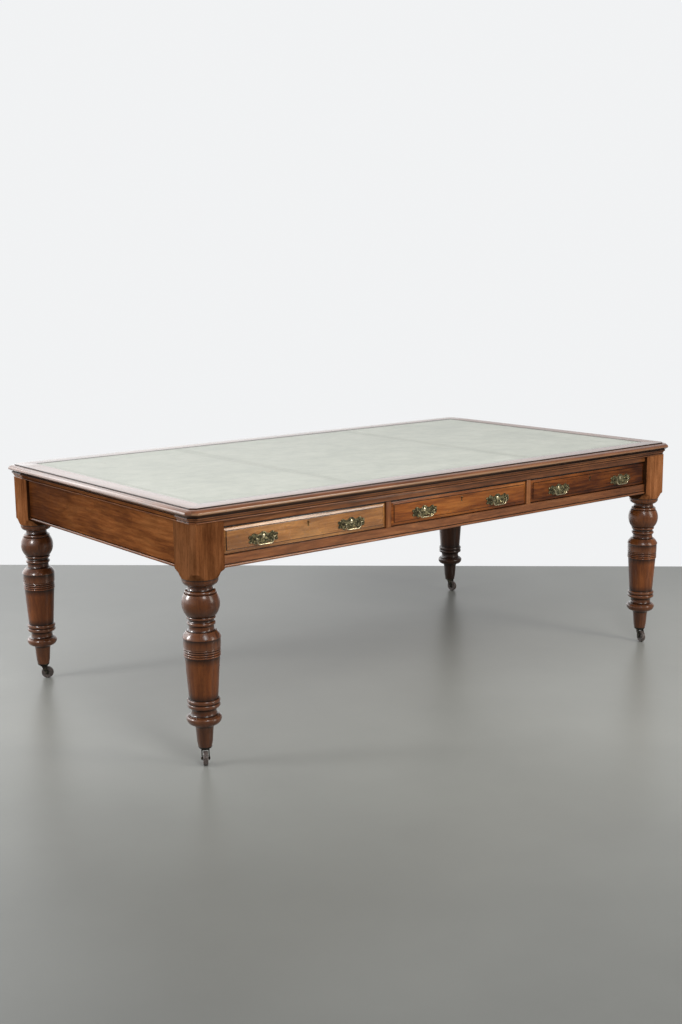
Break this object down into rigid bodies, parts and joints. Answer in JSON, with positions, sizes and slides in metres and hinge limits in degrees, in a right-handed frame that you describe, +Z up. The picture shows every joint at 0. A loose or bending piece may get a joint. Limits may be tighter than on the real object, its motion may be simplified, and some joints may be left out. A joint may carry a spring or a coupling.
{
  "type": "writing desk",
  "caption": "Long Victorian mahogany writing table with turned legs on casters, a row of frieze drawers with brass bail handles, and an inset leather top.",
  "frame": {"origin": "on the floor, below the middle of the table top", "axes": "+X along the length of the top, -Y out of the drawer fronts, +Z up"},
  "size_m": [2.134, 1.219, 0.778],
  "materials": {
    "mahogany": "aged french polish",
    "pale_mahogany": "aged french polish",
    "leg_wood": "dark polish",
    "border": "polished, sunlit sheen",
    "inner_wood": "bare, unpolished",
    "leather": "waxed hide",
    "brass": "aged, tarnished",
    "dark_brass": "blackened",
    "wheel": "worn composition"
  },
  "bodies": {
    "table": {"top_board": "border", "leather_left": "leather", "leather_centre": "leather", "leather_right": "leather", "top_frame_front": "mahogany", "top_frame_left": "mahogany", "top_frame_back": "mahogany", "top_frame_right": "mahogany", "front_top_rail": "mahogany", "front_bottom_rail": "mahogany", "divider_left": "mahogany", "divider_right": "mahogany", "back_apron": "mahogany", "left_apron": "mahogany", "right_apron": "mahogany", "runner_far_left": "inner_wood", "runner_left": "inner_wood", "runner_right": "inner_wood", "runner_far_right": "inner_wood", "leg_front_left": "leg_wood", "caster_front_left_socket": "brass", "leg_front_right": "leg_wood", "caster_front_right_socket": "brass", "leg_back_right": "leg_wood", "caster_back_right_socket": "brass", "leg_back_left": "leg_wood", "caster_back_left_socket": "brass"},
    "bail_left_a": {"handle_left_a_bail": "brass"},
    "bail_left_b": {"handle_left_b_bail": "brass"},
    "drawer_left": {"drawer_left_front": "pale_mahogany", "drawer_left_tray": "inner_wood", "drawer_left_lock": "brass", "handle_left_a_plate": "brass", "handle_left_b_plate": "brass"},
    "bail_centre_a": {"handle_centre_a_bail": "brass"},
    "bail_centre_b": {"handle_centre_b_bail": "brass"},
    "drawer_centre": {"drawer_centre_front": "mahogany", "drawer_centre_tray": "inner_wood", "drawer_centre_lock": "brass", "handle_centre_a_plate": "brass", "handle_centre_b_plate": "brass"},
    "bail_right_a": {"handle_right_a_bail": "brass"},
    "bail_right_b": {"handle_right_b_bail": "brass"},
    "drawer_right": {"drawer_right_front": "mahogany", "drawer_right_tray": "inner_wood", "drawer_right_lock": "brass", "handle_right_a_plate": "brass", "handle_right_b_plate": "brass"},
    "caster_front_left": {"caster_front_left_fork": "dark_brass", "caster_front_left_axle": "dark_brass"},
    "wheel_front_left": {"caster_front_left_wheel": "wheel"},
    "caster_front_right": {"caster_front_right_fork": "dark_brass", "caster_front_right_axle": "dark_brass"},
    "wheel_front_right": {"caster_front_right_wheel": "wheel"},
    "caster_back_right": {"caster_back_right_fork": "dark_brass", "caster_back_right_axle": "dark_brass"},
    "wheel_back_right": {"caster_back_right_wheel": "wheel"},
    "caster_back_left": {"caster_back_left_fork": "dark_brass", "caster_back_left_axle": "dark_brass"},
    "wheel_back_left": {"caster_back_left_wheel": "wheel"}
  },
  "joints": [
    {"name": "bail_left_a_swing", "type": "hinge", "parent": "drawer_left", "child": "bail_left_a", "pos_m": [-0.80017, -0.5933, 0.6643], "axis": [-1, 0, 0], "range_deg": [-12, 95]},
    {"name": "bail_left_b_swing", "type": "hinge", "parent": "drawer_left", "child": "bail_left_b", "pos_m": [-0.46917, -0.5933, 0.6643], "axis": [-1, 0, 0], "range_deg": [-12, 95]},
    {"name": "drawer_left_slide", "type": "slide", "parent": "table", "child": "drawer_left", "axis": [0, -1, 0], "range_m": [0, 0.4]},
    {"name": "bail_centre_a_swing", "type": "hinge", "parent": "drawer_centre", "child": "bail_centre_a", "pos_m": [-0.1655, -0.5933, 0.6643], "axis": [-1, 0, 0], "range_deg": [-12, 95]},
    {"name": "bail_centre_b_swing", "type": "hinge", "parent": "drawer_centre", "child": "bail_centre_b", "pos_m": [0.1655, -0.5933, 0.6643], "axis": [-1, 0, 0], "range_deg": [-12, 95]},
    {"name": "drawer_centre_slide", "type": "slide", "parent": "table", "child": "drawer_centre", "axis": [0, -1, 0], "range_m": [0, 0.4]},
    {"name": "bail_right_a_swing", "type": "hinge", "parent": "drawer_right", "child": "bail_right_a", "pos_m": [0.46917, -0.5933, 0.6643], "axis": [-1, 0, 0], "range_deg": [-12, 95]},
    {"name": "bail_right_b_swing", "type": "hinge", "parent": "drawer_right", "child": "bail_right_b", "pos_m": [0.80017, -0.5933, 0.6643], "axis": [-1, 0, 0], "range_deg": [-12, 95]},
    {"name": "drawer_right_slide", "type": "slide", "parent": "table", "child": "drawer_right", "axis": [0, -1, 0], "range_m": [0, 0.4]},
    {"name": "caster_front_left_swivel", "type": "hinge", "parent": "table", "child": "caster_front_left", "pos_m": [-0.995, -0.5375, 0.048], "axis": [0, 0, 1], "continuous": true},
    {"name": "wheel_front_left_roll", "type": "hinge", "parent": "caster_front_left", "child": "wheel_front_left", "pos_m": [-1.0017, -0.54864, 0.021], "axis": [0.8572, -0.515, 0], "continuous": true},
    {"name": "caster_front_right_swivel", "type": "hinge", "parent": "table", "child": "caster_front_right", "pos_m": [0.995, -0.5375, 0.048], "axis": [0, 0, 1], "continuous": true},
    {"name": "wheel_front_right_roll", "type": "hinge", "parent": "caster_front_right", "child": "wheel_front_right", "pos_m": [0.99055, -0.54972, 0.021], "axis": [0.9397, -0.342, 0], "continuous": true},
    {"name": "caster_back_right_swivel", "type": "hinge", "parent": "table", "child": "caster_back_right", "pos_m": [0.995, 0.5375, 0.048], "axis": [0, 0, 1], "continuous": true},
    {"name": "wheel_back_right_roll", "type": "hinge", "parent": "caster_back_right", "child": "wheel_back_right", "pos_m": [0.99658, 0.5246, 0.021], "axis": [0.9925, 0.1219, 0], "continuous": true},
    {"name": "caster_back_left_swivel", "type": "hinge", "parent": "table", "child": "caster_back_left", "pos_m": [-0.995, 0.5375, 0.048], "axis": [0, 0, 1], "continuous": true},
    {"name": "wheel_back_left_roll", "type": "hinge", "parent": "caster_back_left", "child": "wheel_back_left", "pos_m": [-0.98462, 0.52968, 0.021], "axis": [0.6018, 0.7986, 0], "continuous": true}
  ]
}
